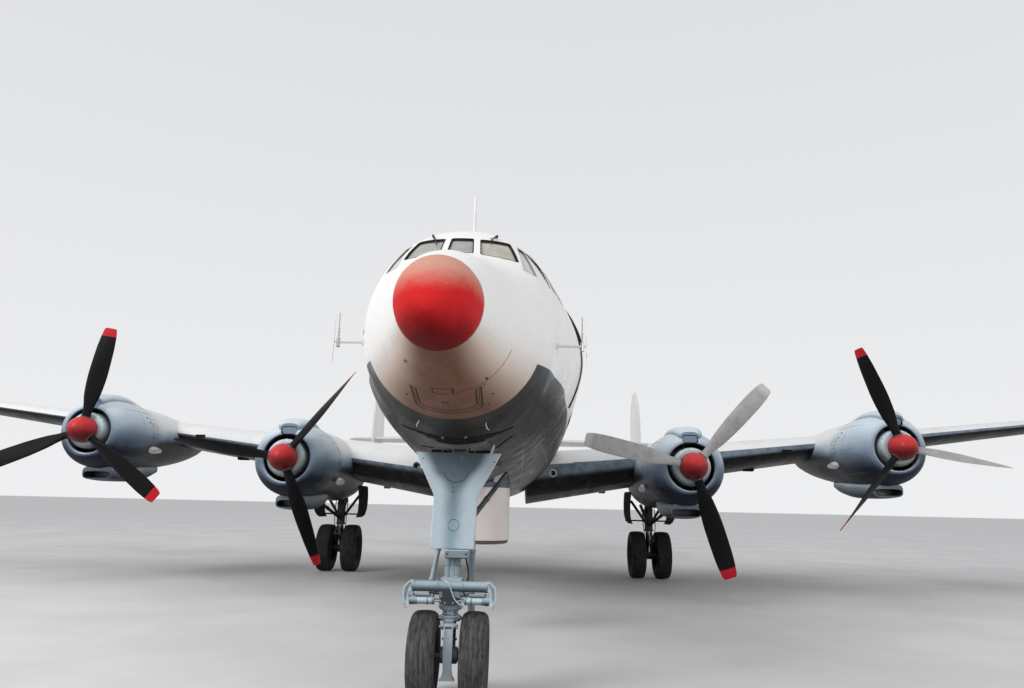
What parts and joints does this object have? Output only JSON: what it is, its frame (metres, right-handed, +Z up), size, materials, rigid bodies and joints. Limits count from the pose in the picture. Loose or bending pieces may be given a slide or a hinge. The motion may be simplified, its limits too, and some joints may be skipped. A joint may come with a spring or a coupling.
{
  "type": "four-engine piston military transport plane",
  "caption": "Low-wing piston transport plane with a long radar nose, a triple tail, twin-wheel tricycle gear and feathered-blade propellers, parked on its gear.",
  "frame": {"origin": "on the ground under the middle of the plane's overall box", "axes": "+Z up, -Y the way the plane faces, +X to its port side"},
  "size_m": [37.49, 35.41, 7.54],
  "materials": {
    "white_paint": "weathered satin",
    "grey_paint": "gloss",
    "cowl_paint": "satin",
    "red_paint": "faded satin",
    "black_paint": "matt",
    "blade_paint": "satin",
    "gear_paint": "satin",
    "tyre_rubber": "dusty matt",
    "glazing": "dusty",
    "engine_metal": "matt",
    "seat_fabric": "matt"
  },
  "bodies": {
    "airframe": {"nose_cone": "white_paint", "flight_deck_shell": "white_paint", "forward_fuselage": "white_paint", "centre_fuselage": "white_paint", "rear_fuselage": "white_paint", "tail_cone": "white_paint", "belly_radome": "white_paint", "roof_mast": "white_paint", "centre_fin": "white_paint", "nose_radome": "red_paint", "cockpit_glazing": "glazing", "instrument_panel": "black_paint", "nose_drag_brace": "black_paint", "pilot_seats": "seat_fabric", "forward_door_leaf": "grey_paint", "wing_port": "white_paint", "flap_port": "white_paint", "stabiliser_port": "white_paint", "outer_fin_port": "white_paint", "main_leg_port": "gear_paint", "main_doors_port": "cowl_paint", "wing_starboard": "white_paint", "flap_starboard": "white_paint", "stabiliser_starboard": "white_paint", "outer_fin_starboard": "white_paint", "main_leg_starboard": "gear_paint", "main_doors_starboard": "cowl_paint", "cowl_port_inboard": "cowl_paint", "nacelle_port_inboard": "cowl_paint", "engine_port_inboard": "engine_metal", "cowl_starboard_inboard": "cowl_paint", "nacelle_starboard_inboard": "cowl_paint", "engine_starboard_inboard": "engine_metal", "cowl_port_outboard": "cowl_paint", "nacelle_port_outboard": "cowl_paint", "engine_port_outboard": "engine_metal", "cowl_starboard_outboard": "cowl_paint", "nacelle_starboard_outboard": "cowl_paint", "engine_starboard_outboard": "engine_metal", "nose_leg": "gear_paint", "nose_steering_beam": "gear_paint", "nose_fairing_plate": "gear_paint"},
    "nose_steering": {"nose_steering_yoke": "gear_paint"},
    "nose_wheel_pair": {"nose_wheels": "tyre_rubber"},
    "centre_rudder": {"centre_rudder": "white_paint"},
    "main_wheel_pair_port": {"main_wheels_port": "tyre_rubber"},
    "aileron_port": {"aileron_port": "white_paint"},
    "elevator_port": {"elevator_port": "white_paint"},
    "outer_rudder_port": {"outer_rudder_port": "white_paint"},
    "main_wheel_pair_starboard": {"main_wheels_starboard": "tyre_rubber"},
    "aileron_starboard": {"aileron_starboard": "white_paint"},
    "elevator_starboard": {"elevator_starboard": "white_paint"},
    "outer_rudder_starboard": {"outer_rudder_starboard": "white_paint"},
    "propeller_port_inboard": {"propeller_port_inboard": "blade_paint"},
    "propeller_starboard_inboard": {"propeller_starboard_inboard": "blade_paint"},
    "propeller_port_outboard": {"propeller_port_outboard": "blade_paint"},
    "propeller_starboard_outboard": {"propeller_starboard_outboard": "blade_paint"}
  },
  "joints": [
    {"name": "propeller_port_inboard_spin", "type": "hinge", "parent": "airframe", "child": "propeller_port_inboard", "pos_m": [4.27, -6.985, 2.737], "axis": [0, 1, 0], "continuous": true},
    {"name": "propeller_starboard_inboard_spin", "type": "hinge", "parent": "airframe", "child": "propeller_starboard_inboard", "pos_m": [-4.27, -6.985, 2.737], "axis": [0, 1, 0], "continuous": true},
    {"name": "propeller_port_outboard_spin", "type": "hinge", "parent": "airframe", "child": "propeller_port_outboard", "pos_m": [8.956, -6.295, 3.283], "axis": [0, 1, 0], "continuous": true},
    {"name": "propeller_starboard_outboard_spin", "type": "hinge", "parent": "airframe", "child": "propeller_starboard_outboard", "pos_m": [-8.956, -6.295, 3.283], "axis": [0, 1, 0], "continuous": true},
    {"name": "nose_steering_turn", "type": "hinge", "parent": "airframe", "child": "nose_steering", "pos_m": [0, -14.915, 0.9], "axis": [0, 0, 1], "range_deg": [-60, 60]},
    {"name": "nose_wheels_spin", "type": "hinge", "parent": "nose_steering", "child": "nose_wheel_pair", "pos_m": [0, -14.915, 0.415], "axis": [1, 0, 0], "continuous": true},
    {"name": "main_wheels_port_spin", "type": "hinge", "parent": "airframe", "child": "main_wheel_pair_port", "pos_m": [4.27, -1.315, 0.62], "axis": [1, 0, 0], "continuous": true},
    {"name": "aileron_port_hinge", "type": "hinge", "parent": "airframe", "child": "aileron_port", "pos_m": [11.95, 0.08894, 3.88857], "axis": [0.9913, -0.0262, 0.1288], "range_deg": [-20, 20]},
    {"name": "elevator_port_hinge", "type": "hinge", "parent": "airframe", "child": "elevator_port", "pos_m": [0.76, 14.445, 4.83], "axis": [1, 0, 0], "range_deg": [-20, 40]},
    {"name": "outer_rudder_port_hinge", "type": "hinge", "parent": "airframe", "child": "outer_rudder_port", "pos_m": [6.3, 14.595, 4.83], "axis": [0, 0, 1], "range_deg": [-25, 25]},
    {"name": "main_wheels_starboard_spin", "type": "hinge", "parent": "airframe", "child": "main_wheel_pair_starboard", "pos_m": [-4.27, -1.315, 0.62], "axis": [1, 0, 0], "continuous": true},
    {"name": "aileron_starboard_hinge", "type": "hinge", "parent": "airframe", "child": "aileron_starboard", "pos_m": [-11.95, 0.08894, 3.88857], "axis": [0.9913, 0.0262, -0.1288], "range_deg": [-20, 20]},
    {"name": "elevator_starboard_hinge", "type": "hinge", "parent": "airframe", "child": "elevator_starboard", "pos_m": [-0.76, 14.445, 4.83], "axis": [1, 0, 0], "range_deg": [-20, 40]},
    {"name": "outer_rudder_starboard_hinge", "type": "hinge", "parent": "airframe", "child": "outer_rudder_starboard", "pos_m": [-6.3, 14.595, 4.83], "axis": [0, 0, 1], "range_deg": [-25, 25]},
    {"name": "centre_rudder_hinge", "type": "hinge", "parent": "airframe", "child": "centre_rudder", "pos_m": [0, 14.595, 5.4], "axis": [0, 0, 1], "range_deg": [-25, 25]}
  ],
  "couplings": [
    {"joint": "aileron_starboard_hinge", "follows": "aileron_port_hinge", "ratio": -1},
    {"joint": "elevator_starboard_hinge", "follows": "elevator_port_hinge", "ratio": 1},
    {"joint": "outer_rudder_port_hinge", "follows": "centre_rudder_hinge", "ratio": 1},
    {"joint": "outer_rudder_starboard_hinge", "follows": "centre_rudder_hinge", "ratio": 1}
  ]
}
